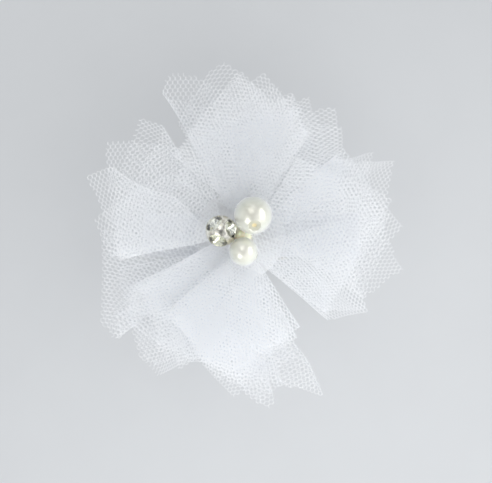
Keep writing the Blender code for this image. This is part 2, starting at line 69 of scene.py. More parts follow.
# Folding: folds are rounded by FOLD_ROUNDING degrees. A petal's layers lie together at its root
# and part within PARTING; they fan apart toward the edges with this power of the distance. A
# bow swings BOW_SPREAD degrees of the flat square sideways over BOW_WIDTH millimetres.
FOLD_ROUNDING = 2.4
PARTING = 7 * MM
FANNING = 1.5
BOW_SPREAD = 28.0
BOW_WIDTH = 4.5

# Unevenness of the netting: long ripples round the square, and crumples across it.
FIRST_SEED = 11
RIPPLE_WAVES = (3, 5, 8, 11)
RIPPLE_HEIGHT = 0.75
CRUMPLE_HEIGHT = 0.22
CRUMPLE_TURN = 0.8
CRUMPLE_LENGTHS = (3.1 * MM, 4.3 * MM)

# The floor glows with painted light of its own, which also fills in the flower's shadow on it: its
# own light, how that changes per metre along X and Y (painted brighter toward the front and right),
# how it fades with the square of the distance from the middle (a painted pool of light), and the most
# that it changes by.
FLOOR_COLOUR = (0.955, 0.985, 1.02, 1.0)
FLOOR_GLOW = 0.385
FLOOR_SLOPE = (0.3, -0.74, 0.0)
FLOOR_FADE = 5.0
FLOOR_RANGE = 0.05
FLOOR_HALF_SIZE = 0.9
FLOOR_GAP = 0.2 * MM


# ---------------------------------------------------------------- helpers

def link(obj):
    bpy.context.scene.collection.objects.link(obj)
    return obj


def mesh_object(name, vertices, faces, materials=(), smooth=True):
    """A piece from lists of vertices and faces."""
    mesh = bpy.data.meshes.new(name)
    mesh.from_pydata([tuple(v) for v in vertices], [], [tuple(f) for f in faces])
    mesh.update()
    for item in materials:
        mesh.materials.append(item)
    if smooth:
        mesh.shade_smooth()
    return link(bpy.data.objects.new(name, mesh))


def quad_object(name, vertices, quads, materials=()):
    """A piece from a vertex array and a quad array."""
    mesh = bpy.data.meshes.new(name)
    mesh.vertices.add(len(vertices))
    mesh.vertices.foreach_set("co", vertices.astype(np.float32).ravel())
    mesh.loops.add(quads.size)
    mesh.loops.foreach_set("vertex_index", quads.astype(np.int32).ravel())
    mesh.polygons.add(len(quads))
    mesh.polygons.foreach_set("loop_start", np.arange(0, quads.size, 4, dtype=np.int32))
    mesh.polygons.foreach_set("loop_total", np.full(len(quads), 4, dtype=np.int32))
    mesh.update(calc_edges=True)
    for item in materials:
        mesh.materials.append(item)
    mesh.shade_smooth()
    return link(bpy.data.objects.new(name, mesh))


def unit(array):
    return array / np.maximum(np.linalg.norm(array, axis=-1, keepdims=True), 1e-12)


def tubes(points, run, normals, radius, sides):
    """Open oval tubes along runs of points: a vertex array and a quad array."""
    joined = np.flatnonzero(run[1:] == run[:-1])
    ahead = points.copy()
    behind = points.copy()
    ahead[joined] = points[joined + 1]
    behind[joined + 1] = points[joined]
    along = unit(ahead - behind)
    across = unit(np.cross(along, normals))
    up = np.cross(across, along)
    bend = np.einsum("ij,ij->i", unit(ahead - points + 1e-9), along)
    across = across / np.clip(bend, 0.8, 1.0)[:, None]
    angle = 2 * math.pi * (np.arange(sides) + 0.5) / sides
    ring = (radius[0] * np.cos(angle)[None, :, None] * across[:, None]
            + radius[1] * np.sin(angle)[None, :, None] * up[:, None])
    vertices = (points[:, None] + ring).reshape(-1, 3)
    side = np.arange(sides)
    following = (side + 1) % sides
    first = joined[:, None] * sides
    second = first + sides
    quads = np.stack([first + side, second + side, second + following, first + following], -1)
    return vertices, quads.reshape(-1, 4)


# ---------------------------------------------------------------- materials

def new_material(name):
    item = bpy.data.materials.new(name)
    item.use_nodes = True
    tree = item.node_tree
    return item, tree, tree.nodes["Principled BSDF"]


def node(tree, kind, **values):
    """A new node; values are its properties, or its inputs by name with _ for a space."""
    made = tree.nodes.new(kind)
    for key, value in values.items():
        if hasattr(made, key):
            setattr(made, key, value)
        else:
            made.inputs[key.replace("_", " ")].default_value = value
    return made


def settings(shader, **values):
    for key, value in values.items():
        shader.inputs[key.replace("_", " ")].default_value = value


def object_point(tree):
    return node(tree, "ShaderNodeTexCoord").outputs["Object"]


def noise(tree, scale, detail=3.0, roughness=0.55, stretch=(1, 1, 1)):
    """A noise value at a scale in waves per metre."""
    mapping = node(tree, "ShaderNodeMapping")
    mapping.inputs["Scale"].default_value = stretch
    tree.links.new(object_point(tree), mapping.inputs["Vector"])
    made = node(tree, "ShaderNodeTexNoise", Scale=scale, Detail=detail, Roughness=roughness)
    tree.links.new(mapping.outputs["Vector"], made.inputs["Vector"])
    return made.outputs["Fac"]


def ramp(tree, value, low, high, start=0.3, end=0.7):
    """Two colours mixed by a value."""
    made = tree.nodes.new("ShaderNodeValToRGB")
    made.color_ramp.elements[0].position = start
    made.color_ramp.elements[0].color = (*low, 1)
    made.color_ramp.elements[1].position = end
    made.color_ramp.elements[1].color = (*high, 1)
    tree.links.new(value, made.inputs["Fac"])
    return made.outputs["Color"]


def spread(tree, value, low, high):
    """A value mapped from 0..1 to low..high."""
    made = node(tree, "ShaderNodeMapRange", To_Min=low, To_Max=high)
    tree.links.new(value, made.inputs["Value"])
    return made.outputs["Result"]


def bump(tree, shader, height, distance, strength=1.0):
    made = node(tree, "ShaderNodeBump", Strength=strength, Distance=distance)
    tree.links.new(height, made.inputs["Height"])
    tree.links.new(made.outputs["Normal"], shader.inputs["Normal"])


def tulle_material(lift):
    """White net whose shadows are lifted by a little light of its own."""
    item, tree, shader = new_material(f"tulle_net_{round(1000 * lift)}")
    colour = ramp(tree, noise(tree, 400.0), (0.968, 0.975, 0.985), (0.99, 0.993, 0.998))
    tree.links.new(colour, shader.inputs["Base Color"])
    settings(shader, Roughness=0.5, Sheen_Weight=0.1, Specular_IOR_Level=0.4,
             Emission_Color=(0.90, 0.945, 1.0, 1.0), Emission_Strength=lift)
    glow = node(tree, "ShaderNodeBsdfTranslucent")
    tree.links.new(colour, glow.inputs["Color"])
    mixed = node(tree, "ShaderNodeMixShader")
    mixed.inputs["Fac"].default_value = THREAD_TRANSLUCENCY
    tree.links.new(shader.outputs["BSDF"], mixed.inputs[1])
    tree.links.new(glow.outputs["BSDF"], mixed.inputs[2])
    output = tree.nodes["Material Output"]
    tree.links.new(mixed.outputs["Shader"], output.inputs["Surface"])
    return item


def pearl_material():
    """Ivory nacre: a soft body under a clear coat with a faint play of colour."""
    item, tree, shader = new_material("pearl_coat")
    colour = ramp(tree, noise(tree, 260.0, 4.0), (0.72, 0.72, 0.625), (0.83, 0.825, 0.745))
    tree.links.new(colour, shader.inputs["Base Color"])
    tree.links.new(spread(tree, noise(tree, 700.0), 0.2, 0.3), shader.inputs["Roughness"])
    settings(shader, Metallic=0.35, Coat_Weight=1.0, Coat_Roughness=0.05, Coat_IOR=1.6,
             Specular_IOR_Level=0.6, Thin_Film_Thickness=420.0, Thin_Film_IOR=1.45,
             Sheen_Weight=0.9, Sheen_Roughness=0.4, Sheen_Tint=(0.98, 0.95, 1.0, 1.0))
    bump(tree, shader, noise(tree, 900.0, 2.0), 0.00001, 0.25)
    return item


def amber_material():
    item, tree, shader = new_material("amber_core")
    colour = ramp(tree, noise(tree, 1500.0), (0.62, 0.50, 0.26), (0.82, 0.73, 0.46))
    tree.links.new(colour, shader.inputs["Base Color"])
    settings(shader, Roughness=0.4)
    bump(tree, shader, noise(tree, 2500.0), 0.00003, 0.6)
    return item


def core_and_shade_material():
    """The bead's bare core where the coat has worn off round the hole, coloured darker as painted
    shade in the dish.
    """
    item, tree, shader = new_material("bare_core_and_shade")
    colour = ramp(tree, noise(tree, 1100.0, 4.0), (0.44, 0.435, 0.34), (0.56, 0.55, 0.44))
    tree.links.new(colour, shader.inputs["Base Color"])
    settings(shader, Roughness=0.35, Coat_Weight=0.4, Coat_Roughness=0.1)
    bump(tree, shader, noise(tree, 1800.0), 0.00002, 0.5)
    return item


def silver_material():
    item, tree, shader = new_material("silver_plating")
    colour = ramp(tree, noise(tree, 900.0, 5.0), (0.70, 0.66, 0.55), (0.95, 0.93, 0.86))
    tree.links.new(colour, shader.inputs["Base Color"])
    tree.links.new(spread(tree, noise(tree, 1800.0), 0.10, 0.32), shader.inputs["Roughness"])
    settings(shader, Metallic=1.0)
    bump(tree, shader, noise(tree, 2600.0), 0.00002, 0.35)
    return item


def crystal_material(name, dark, light, roughness):
    item, tree, shader = new_material(name)
    tree.links.new(ramp(tree, noise(tree, 500.0), dark, light), shader.inputs["Base Color"])
    settings(shader, Roughness=roughness, IOR=1.58, Transmission_Weight=1.0)
    return item


def foil_material():
    item, tree, shader = new_material("crystal_foil")
    colour = ramp(tree, noise(tree, 1200.0), (0.93, 0.93, 0.86), (0.98, 0.98, 0.96))
    tree.links.new(colour, shader.inputs["Base Color"])
    settings(shader, Roughness=0.08, Metallic=1.0)
    return item


def steel_material(name, dark, light, grain):
    """Plated steel with a fine drawn grain."""
    item, tree, shader = new_material(name)
    colour = ramp(tree, noise(tree, 300.0, 5.0), dark, light)
    tree.links.new(colour, shader.inputs["Base Color"])
    lines = noise(tree, 900.0, 4.0, 0.6, grain)
    tree.links.new(spread(tree, lines, 0.2, 0.42), shader.inputs["Roughness"])
    settings(shader, Metallic=1.0)
    bump(tree, shader, lines, 0.00002, 0.35)
    return item


def cloth_material(name, dark, light, scale, depth, roughness=0.9, stretch=(1, 1, 1)):
    """Matt fibres: felt, ribbon and thread."""
    item, tree, shader = new_material(name)
    fibres = noise(tree, scale, 6.0, 0.7, stretch)
    tree.links.new(ramp(tree, fibres, dark, light), shader.inputs["Base Color"])
    settings(shader, Roughness=roughness, Sheen_Weight=0.3)
    bump(tree, shader, fibres, depth, 0.6)
    return item


def glue_material():
    item, tree, shader = new_material("set_glue")
    colour = ramp(tree, noise(tree, 350.0), (0.84, 0.80, 0.56), (0.93, 0.91, 0.72))
    tree.links.new(colour, shader.inputs["Base Color"])
    tree.links.new(spread(tree, noise(tree, 500.0), 0.12, 0.3), shader.inputs["Roughness"])
    settings(shader, Coat_Weight=0.5, Coat_Roughness=0.08, Subsurface_Weight=0.2,
             Subsurface_Scale=0.001)
    bump(tree, shader, noise(tree, 600.0), 0.00015, 0.5)
    return item


def floor_material():
    """A pale sheet glowing with painted light, painted a little brighter toward the front and right.
    """
    item, tree, shader = new_material("pale_paper")
    colour = ramp(tree, noise(tree, 60.0, 4.0), (0.245, 0.25, 0.255), (0.255, 0.26, 0.265))
    tree.links.new(colour, shader.inputs["Base Color"])
    settings(shader, Roughness=0.9, Specular_IOR_Level=0.1, Emission_Color=FLOOR_COLOUR)
    # Painted light: the glow is made brighter toward the front and right and fainter away from the
    # middle.
    slope = node(tree, "ShaderNodeVectorMath", operation="DOT_PRODUCT")
    slope.inputs[1].default_value = FLOOR_SLOPE
    tree.links.new(object_point(tree), slope.inputs[0])
    away = node(tree, "ShaderNodeVectorMath", operation="DOT_PRODUCT")
    tree.links.new(object_point(tree), away.inputs[0])
    tree.links.new(object_point(tree), away.inputs[1])
    faded = node(tree, "ShaderNodeMath", operation="MULTIPLY_ADD")
    faded.inputs[1].default_value = -FLOOR_FADE
    tree.links.new(away.outputs["Value"], faded.inputs[0])
    tree.links.new(slope.outputs["Value"], faded.inputs[2])
    glow = node(tree, "ShaderNodeMath", operation="ADD")
    glow.inputs[1].default_value = FLOOR_GLOW
    tree.links.new(faded.outputs["Value"], glow.inputs[0])
    even = node(tree, "ShaderNodeClamp", Min=FLOOR_GLOW - FLOOR_RANGE, Max=FLOOR_GLOW + FLOOR_RANGE)
    tree.links.new(glow.outputs["Value"], even.inputs["Value"])
    tree.links.new(even.outputs["Result"], shader.inputs["Emission Strength"])
    return item


PEARL = pearl_material()
AMBER = amber_material()
CORE_AND_SHADE = core_and_shade_material()
SILVER = silver_material()
CRYSTAL = crystal_material("cut_crystal", (0.93, 0.95, 0.90), (1.0, 1.0, 0.98), 0.02)
SMEARED = crystal_material("glue_smeared_crystal", (0.87, 0.88, 0.70), (0.97, 0.97, 0.87), 0.22)
FOIL = foil_material()
STEEL = steel_material("nickel_plating", (0.60, 0.59, 0.56), (0.80, 0.79, 0.76), (0.1, 1, 1))
WIRE = steel_material("spring_wire", (0.46, 0.46, 0.47), (0.66, 0.66, 0.67), (1, 0.1, 1))
# The white ribbon is coloured grey: painted shade, for the shade it lies in under the netting.
RIBBON = cloth_material("grosgrain", (0.69, 0.70, 0.72), (0.81, 0.82, 0.84), 3000.0, 0.00004)
FELT = cloth_material("felt_fibres", (0.78, 0.78, 0.79), (0.93, 0.93, 0.93), 1600.0, 0.0002)
THREAD = cloth_material("sewing_thread", (0.78, 0.78, 0.78), (0.93, 0.93, 0.92), 2500.0, 0.00006)
GLUE = glue_material()


# ---------------------------------------------------------------- folded netting

# Each petal is one square of netting folded about its own centre, which lies at apex and base
# (millimetres) and rises outward by slope, with gap millimetres from layer to layer. Its folds
# are (angle in the flat square, azimuth when folded) in degrees; corners are the azimuths and
# lengths (as a share of the flat ones) of the four cut corners, at flat angles 45, 135, 225 and
# 315; edges are the lengths at flat angles 0, 90, 180 and 270; levels are the heights of the
# layers between one fold and the next, in gaps; grain turns the net in its square; lift is how
# much light of its own lifts the net's shadows; and bow is a (flat angle, swing in degrees,
# distance in millimetres) that bends a fold sideways.
# The lifts differ from petal to petal as painted light: the right and bottom petals glow more and the
# top petal less, standing in for light falling from the front right.
PETALS = {
    "upper_petal_top": dict(
        apex=(3.2, 2.7), base=13.9, slope=0.15, gap=0.6, grain=0, lift=0.06,
        folds=((352, 62.0), (92, 140.7), (185, 60), (272, 152)),
        corners=((98, 0.99), (96, 1.0), (86, 0.99), (73, 0.88)),
        levels=(1.5, -1.5, -0.5, 0.5), edges=(1, 1, 1, 0.86)),
    "upper_petal_right": dict(
        apex=(0.4, -2.6), base=14.5, slope=0.14, gap=0.6, grain=90, lift=0.115,
        folds=((335, -39), (91, 57.5), (192, -37), (270, 14)),
        corners=((17.5, 1.04), (11, 1.0), (-27, 0.9), (-27.5, 0.925)),
        levels=(1.5, -1.5, -0.5, 0.5)),
    "upper_petal_bottom": dict(
        apex=(1.4, -1.9), base=14.7, slope=0.14, gap=0.6, grain=0, lift=0.123,
        folds=((355, 221.3), (88, 301.9), (180, 226), (268, 297)),
        corners=((258, 0.92), (263, 0.94), (268, 0.95), (252, 0.87)),
        levels=(1.5, -1.5, -0.5, 0.5), edges=(1, 0.92, 1, 1)),
    "upper_petal_lower_left": dict(
        apex=(-2.0, 0.3), base=13.2, slope=0.12, gap=0.6, grain=90, lift=0.085,
        folds=((30, 210.2), (100, 265), (190, 212), (280, 273)),
        corners=((214.7, 0.86), (237.5, 0.935), (243.3, 0.94), (249.8, 0.98)),
        levels=(1.5, -1.5, -0.5, 0.5)),
    "upper_petal_left": dict(
        apex=(-3.2, -0.6), base=13.5, slope=0.12, gap=0.8, grain=2, lift=0.085,
        folds=((90, 191), (146, 119), (210, 188), (280, 104), (5, 191), (54, 149)),
        corners=((156, 1.0), (126, 0.98), (172, 0.88), (141, 1.03)),
        levels=(-1.9, -1.1, -0.3, 0.5, 2.0, 1.3), bow=(54, -7, 12.5),
        edges=(1, 1, 1, 0.72)),
    "lower_petal_upper_left": dict(
        apex=(-1.9, 3.9), base=11.5, slope=0.03, gap=0.55, grain=-23, lift=0.085,
        folds=((37, 117), (99, 56), (158, 119), (213, 60), (265, 116), (319, 58)),
        corners=((111, 1.07), (94.5, 1.08), (72, 0.97), (62, 0.92)),
        levels=(1.6, 1.0, 0.4, -0.2, -0.8, -1.4), edges=(1, 1, 0.8, 0.86)),
    "lower_petal_upper_right": dict(
        apex=(0.8, 0.8), base=11.5, slope=0.03, gap=0.6, grain=2, lift=0.085,
        folds=((0, 98), (88, 12), (178, 95), (268, 20)),
        corners=((54, 1.02), (47, 0.95), (64, 0.99), (70, 0.97)),
        levels=(1.5, 0.5, -0.5, -1.5)),
    "lower_petal_right": dict(
        apex=(3.2, 1.5), base=11.6, slope=0.03, gap=0.6, grain=92, lift=0.085,
        folds=((115, -32), (188, 41), (255, -30), (356, 40)),
        corners=((26, 1.02), (-16, 1.0), (0, 0.97), (33.4, 0.92)),
        levels=(0.5, -0.5, -1.5, 1.5), edges=(1.05, 1.25, 1.15, 1.1)),
    "lower_petal_bottom": dict(
        apex=(2.1, -5.7), base=11.5, slope=0.03, gap=0.5, grain=2, lift=0.085,
        folds=((43, 300), (97, 244), (138, 279), (185, 235), (235, 283), (285, 238),
               (345, 296), (18, 262)),
        corners=((299, 1.02), (276.5, 0.98), (274, 0.95), (262, 0.9)),
        levels=(1.6, 1.1, 0.7, 0.2, -0.2, -0.7, -1.1, -1.6)),
    "lower_petal_lower_left": dict(
        apex=(-2.0, -3.2), base=11.4, slope=0.03, gap=0.6, grain=62, lift=0.085,
        folds=((358, 171), (51, 218), (58, 208), (92, 258.4), (183, 189), (270, 258.4),
               (302, 208), (309, 218)),
        corners=((211.7, 1.045), (237.7, 1.02), (233.9, 1.0), (214, 1.03)),
        levels=(1.5, 1.3, 1.1, -1.5, -0.5, 0.5, 0.7, 0.9), edges=(1.22, 1.08, 1.08, 1.08)),
}

# Copies of the net that differ only in their glow: lit and shaded copies, painted light for light
# falling from the front right.
NETS = {lift: tulle_material(lift) for lift in sorted({petal["lift"] for petal in PETALS.values()})}


def round_off(values, width):
    """A list round the circle, one value a degree, smoothed over a width in degrees."""
    weights = np.hanning(2 * width + 3)
    weights = weights / weights.sum()
    count = len(weights) // 2
    padded = np.concatenate([values[-count:], values, values[:count]])
    return np.convolve(padded, weights, "valid")


def fold_tables(petal):
    """Tables for each degree of the flat square.

    They are its own azimuth, the azimuth that all layers share near the root, the length and
    the layer height.
    """
    degrees = np.arange(360)
    middle = sum(azimuth for _, azimuth in petal["folds"]) / len(petal["folds"])
    folds = [(angle, azimuth + math.copysign(FOLD_ROUNDING, azimuth - middle))
             for angle, azimuth in petal["folds"]]
    corners = [(45 + 90 * index, azimuth) for index, (azimuth, _) in enumerate(petal["corners"])]
    azimuth = np.interp(degrees, *zip(*sorted(folds + corners)), period=360)
    centre = sum(turn for _, turn in corners) / len(corners)
    together = [(angle, centre) for angle, _ in corners]
    shared = np.interp(degrees, *zip(*sorted(folds + together)), period=360)
    lengths = [(45 + 90 * index, length) for index, (_, length) in enumerate(petal["corners"])]
    lengths += [(90 * index, length) for index, length in enumerate(petal.get("edges", (1,) * 4))]
    length = np.interp(degrees, *zip(*sorted(lengths)), period=360)
    first = petal["folds"][0][0]
    starts = [(angle - first) % 360 for angle, _ in petal["folds"]]
    layer = np.searchsorted(starts, (degrees - first) % 360, side="right") - 1
    level = np.array(petal["levels"])[layer]
    return round_off(azimuth, 4), round_off(shared, 4), round_off(length, 12), round_off(level, 9)


def fold_square(petal, flat, seed):
    """Places of points of the flat square once it is folded."""
    azimuths, shared, lengths, levels = fold_tables(petal)
    degrees = np.arange(360)
    distance = np.hypot(flat[:, 0], flat[:, 1])
    turn = np.degrees(np.arctan2(flat[:, 1], flat[:, 0])) % 360
    own = np.interp(turn, degrees, azimuths, period=360)
    together = np.interp(turn, degrees, shared, period=360)
    apart = np.clip(distance / (SQUARE / 2), 0, 1) ** FANNING
    azimuth = together + (own - together) * apart
    length = np.interp(turn, degrees, lengths, period=360)
    level = np.interp(turn, degrees, levels, period=360)
    far = distance / SQUARE * 2
    if "bow" in petal:
        angle, swing, reach = petal["bow"]
        nearness = np.exp(-(((turn - angle + 180) % 360 - 180) / BOW_SPREAD) ** 2)
        azimuth = azimuth + swing * nearness * np.exp(-((distance / MM - reach) / BOW_WIDTH) ** 2)
    draw = random.Random(seed)
    ripple = np.zeros_like(distance)
    for waves in RIPPLE_WAVES:
        phase = draw.uniform(0, 2 * math.pi)
        ripple += draw.uniform(0.5, 1.0) * np.sin(np.radians(turn) * waves + phase) / waves
    across, along = CRUMPLE_LENGTHS
    crumple = np.sin(flat[:, 0] / across + seed) * np.sin(flat[:, 1] / along + 2 * seed)
    spacing = petal["gap"] * (1 - np.exp(-distance / PARTING))
    height = (petal["base"] + petal["slope"] * distance * length / MM + spacing * level
              + RIPPLE_HEIGHT * ripple * far ** 1.5 + CRUMPLE_HEIGHT * crumple * far)
    reach = distance * length
    angle = np.radians(azimuth + CRUMPLE_TURN * crumple * far)
    return np.stack([petal["apex"][0] * MM + reach * np.cos(angle),
                     petal["apex"][1] * MM + reach * np.sin(angle), height * MM], -1)


def net_in_square(grain, seed):
    """Flat points of the net's zigzag threads inside the cut square, and their thread numbers."""
    strut = NET_PITCH / math.sqrt(3)
    half = SQUARE / 2
    columns = 2 * int(1.25 * half / (NET_PITCH / 2))
    repeats = 2 * int(1.25 * half / (3 * strut))
    start = np.array([-columns * NET_PITCH / 4, -(1.5 * repeats + 0.5) * strut])
    near = THREAD_SHIFT
    far = NET_PITCH / 2 - THREAD_SHIFT
    pattern = np.array([(near, 0.0), (near, strut), (far, 1.5 * strut), (far, 2.5 * strut)])
    one = np.concatenate([pattern + (0, 3 * strut * index) for index in range(repeats)])
    points = []
    for column in range(columns):
        shift = 1.5 * strut if column % 2 else 0.0
        points.append(one + start + (column * NET_PITCH / 2, shift))
    count = len(one)
    points = np.concatenate(points)
    run = np.repeat(np.arange(columns), count)
    turn = math.radians(grain)
    spin = np.array([[math.cos(turn), math.sin(turn)], [-math.sin(turn), math.cos(turn)]])
    points = points @ spin
    wander = EDGE_WANDER * np.sin(points[:, ::-1] / WANDER_LENGTH + seed)
    inside = (np.abs(points) < half + wander).all(axis=1)
    inside &= np.hypot(points[:, 0], points[:, 1]) > ROOT_HOLE
    breaks = np.cumsum(~inside)
    keep = np.flatnonzero(inside)
    label = run[keep] * len(points) + breaks[keep]
    _, label, sizes = np.unique(label, return_inverse=True, return_counts=True)
    long_enough = sizes[label] > 1
    return points[keep][long_enough], label[long_enough]


def make_petal(name, petal, seed):
    """One folded square of net, with threads that are taller than they are wide."""
    flat, run = net_in_square(petal["grain"], seed)
    step = 0.02 * MM
    points = fold_square(petal, flat, seed)
    along_u = fold_square(petal, flat + (step, 0), seed) - points
    along_v = fold_square(petal, flat + (0, step), seed) - points
    normals = unit(np.cross(along_u, along_v))
    vertices, quads = tubes(points, run, normals, (THREAD_WIDTH / 2, THREAD_HEIGHT / 2), THREAD_SIDES)
    piece = quad_object(name + "_net", vertices, quads, [NETS[petal["lift"]]])
    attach(piece, "flower_jaw")
    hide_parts(name)


for seed, (name, petal) in enumerate(PETALS.items(), FIRST_SEED):
    make_petal(name, petal, seed)


# ---------------------------------------------------------------- shared shapes

def middle_of(name):
    """Centre and half sizes of a CAD node's box."""
    low, high = (Vector(corner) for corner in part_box(name))
    return (low + high) / 2, (high - low) / 2


def finish_piece(piece, name, body, sharp=35.0):
    """A piece that stands for a CAD node and rides its body; the CAD node is hidden."""
    piece.data.set_sharp_from_angle(angle=math.radians(sharp))
    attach(piece, body)
    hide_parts(name)


def turned(profile, centre, axis, sides):
    """Vertices and faces of a body turned round an axis, from (radius, height) points."""
    tilt = Vector(axis).normalized().to_track_quat("Z", "Y").to_matrix()
    vertices = []
    rings = []
    for radius, height in profile:
        count = sides if radius > 0 else 1
        rings.append(range(len(vertices), len(vertices) + count))
        for side in range(count):
            angle = 2 * math.pi * side / sides
            point = Vector((radius * math.cos(angle), radius * math.sin(angle), height))
            vertices.append(centre + tilt @ point)
    faces = []
    for lower, upper in zip(rings, rings[1:]):
        for side in range(sides):
            following = (side + 1) % sides
            if len(lower) == 1:
                faces.append((lower[0], upper[following], upper[side]))
            elif len(upper) == 1:
                faces.append((lower[side], lower[following], upper[0]))
            else:
                faces.append((lower[side], lower[following], upper[following], upper[side]))
    return vertices, faces


def turn_outwards(piece):
    shape = bmesh.new()
    shape.from_mesh(piece.data)
    bmesh.ops.recalc_face_normals(shape, faces=shape.faces)
    shape.to_mesh(piece.data)
    shape.free()


def rod(points, radius, sides, square_to):
    """Vertices and faces of a closed round rod with rounded ends along points."""
    radii = [0.0, 0.7 * radius] + [radius] * (len(points) - 2) + [0.7 * radius, 0.0]
    first = Vector(points[0])
    last = Vector(points[-1])
    start = (first - Vector(points[1])).normalized()
    end = (last - Vector(points[-2])).normalized()
    path = [first + 0.35 * radius * start, first + 0.2 * radius * start]
    path += [Vector(point) for point in points[1:-1]]
    path += [last + 0.2 * radius * end, last + 0.35 * radius * end]
    vertices = []
    for index, point in enumerate(path):
        along = path[min(index + 1, len(path) - 1)] - path[max(index - 1, 0)]
        outward = along.cross(Vector(square_to)).normalized()
        across = outward.cross(along).normalized()
        for side in range(sides):
            angle = 2 * math.pi * side / sides
            ring = math.cos(angle) * outward + math.sin(angle) * across
            vertices.append(point + max(radii[index], 0.02 * radius) * ring)
    faces = [tuple(range(sides)), tuple(range(len(vertices) - sides, len(vertices)))]
    for index in range(len(path) - 1):
        for side in range(sides):
            following = (side + 1) % sides
            row = index * sides
            faces.append((row + side, row + following, row + sides + following,
                          row + sides + side))
    return vertices, faces


def join(*parts):
    """Several (vertices, faces) as one."""
    vertices = []
    faces = []
    for some_vertices, some_faces in parts:
        start = len(vertices)
        vertices += list(some_vertices)
        faces += [tuple(start + corner for corner in face) for face in some_faces]
    return vertices, faces


# ---------------------------------------------------------------- beads

# Each pearl: the way its hole faces, and the radius of the raised ring round it. Inside the
# ring the coat has worn off in a flat dish, whose bare core is coloured darker as painted shade.
PEARLS = {
    "large_pearl": dict(axis=(0.07, -0.58, 0.81), ring=1.8 * MM),
    "small_pearl": dict(axis=(0.9, -0.35, 0.1), ring=1.0 * MM),
}
BORE = 0.5 * MM
DISH_SHARE = 0.7
DISH_DEPTH = 0.13 * MM
BEAD_SIDES = 96
BEAD_STEPS = 56


def pearl_profile(radius, ring):
    """Half section of a pearl: a raised ring and a flat dish round each hole, and a bore."""
    def surface(distance):
        return math.sqrt(radius ** 2 - distance ** 2)

    dish = DISH_SHARE * ring
    floor = surface(dish) - DISH_DEPTH
    end = [(0.0, floor - 0.2 * MM), (0.6 * BORE, floor - 0.17 * MM), (BORE, floor - 0.15 * MM),
           (BORE + 0.03 * MM, floor - 0.02 * MM), (BORE + 0.1 * MM, floor), (dish, floor),
           (dish + 0.04 * MM, floor + 0.06 * MM), (0.76 * ring, surface(0.76 * ring) + 0.03 * MM),
           (0.84 * ring, surface(0.84 * ring) + 0.05 * MM), (0.93 * ring, surface(0.93 * ring))]
    start = math.asin(ring / radius)
    body = []
    for step in range(BEAD_STEPS + 1):
        angle = start + (math.pi - 2 * start) * step / BEAD_STEPS
        body.append((radius * math.sin(angle), radius * math.cos(angle)))
    return end + body + [(distance, -height) for distance, height in reversed(end)]


def make_pearl(name, pearl):
    centre, half = middle_of(name)
    axis = Vector(pearl["axis"]).normalized()
    profile = pearl_profile(max(half), pearl["ring"])
    vertices, faces = turned(profile, centre, axis, BEAD_SIDES)
    piece = mesh_object(name + "_bead", vertices, faces, [PEARL, AMBER, CORE_AND_SHADE])
    for face in piece.data.polygons:
        way = face.center - centre
        from_axis = (way - way.dot(axis) * axis).length
        # The dish's faces take the bare core's colour, which is also painted shade.
        worn = from_axis < DISH_SHARE * pearl["ring"]
        face.material_index = 1 if from_axis < BORE else 2 * worn
    turn_outwards(piece)
    finish_piece(piece, name, "flower_jaw", 50.0)


# Stones: heights are from the ball's centre. Each facet ring is (radius, height, turn in
# degrees), and each stone is turned by STONE_TURN more than the one before.
STONE_RADIUS = 1.9 * MM
STONE_TURN = 11.0
GIRDLE = (2.36 * MM, 2.44 * MM)
FACET_RINGS = ((1.0 * MM, 3.05 * MM, 0.0), (1.52 * MM, 2.83 * MM, 22.5))
CULET = 1.35 * MM

# The ball's seats, with room below each stone, and the round edges of its lips.
BALL_STEPS = 48
SEAT_RADIUS = 1.95 * MM
SEAT_ROOM = (0.08 * MM, 0.04 * MM)
LIP_ROUNDING = 0.07 * MM


def pocket_ways():
    """The ways that the six stones face, from the ball's centre."""
    centre, _ = middle_of("ball_setting")
    return [(middle_of(f"crystal_{index + 1}")[0] - centre).normalized() for index in range(6)]


def make_ball():
    """The plated ball with six cone seats, a round lip at each and a bore through it."""
    centre, half = middle_of("ball_setting")
    radius = max(half)
    profile = [(0.0, radius)]
    for step in range(1, BALL_STEPS):
        angle = math.pi * step / BALL_STEPS
        profile.append((radius * math.sin(angle), radius * math.cos(angle)))
    profile.append((0.0, -radius))
    ball = mesh_object("ball_setting_plated", *turned(profile, centre, (0, 0, 1), BEAD_SIDES),
                       [SILVER])
    turn_outwards(ball)
    ways = pocket_ways()
    seat = [(0.0, CULET - SEAT_ROOM[0]), (SEAT_RADIUS, GIRDLE[0] - SEAT_ROOM[1]),
            (SEAT_RADIUS, 2 * radius), (0.0, 2 * radius)]
    cutters = [turned(seat, centre, way, 64) for way in ways]
    bore = [(0.0, -2 * radius), (BORE, -2 * radius), (BORE, 2 * radius), (0.0, 2 * radius)]
    cutters.append(turned(bore, centre, ways[0] + ways[1] - ways[2], 32))
    for vertices, faces in cutters:
        tool = mesh_object("cutter", vertices, faces, smooth=False)
        turn_outwards(tool)
        cut = ball.modifiers.new("cut", "BOOLEAN")
        cut.operation = "DIFFERENCE"
        cut.object = tool
        bpy.context.view_layer.update()
        graph = bpy.context.evaluated_depsgraph_get()
        shape = bpy.data.meshes.new_from_object(ball.evaluated_get(graph))
        ball.modifiers.clear()
        ball.data = shape
        bpy.data.objects.remove(tool)
    round_edges(ball, 30.0, LIP_ROUNDING, 2)
    ball.data.shade_smooth()
    finish_piece(ball, "ball_setting", "flower_jaw", 40.0)


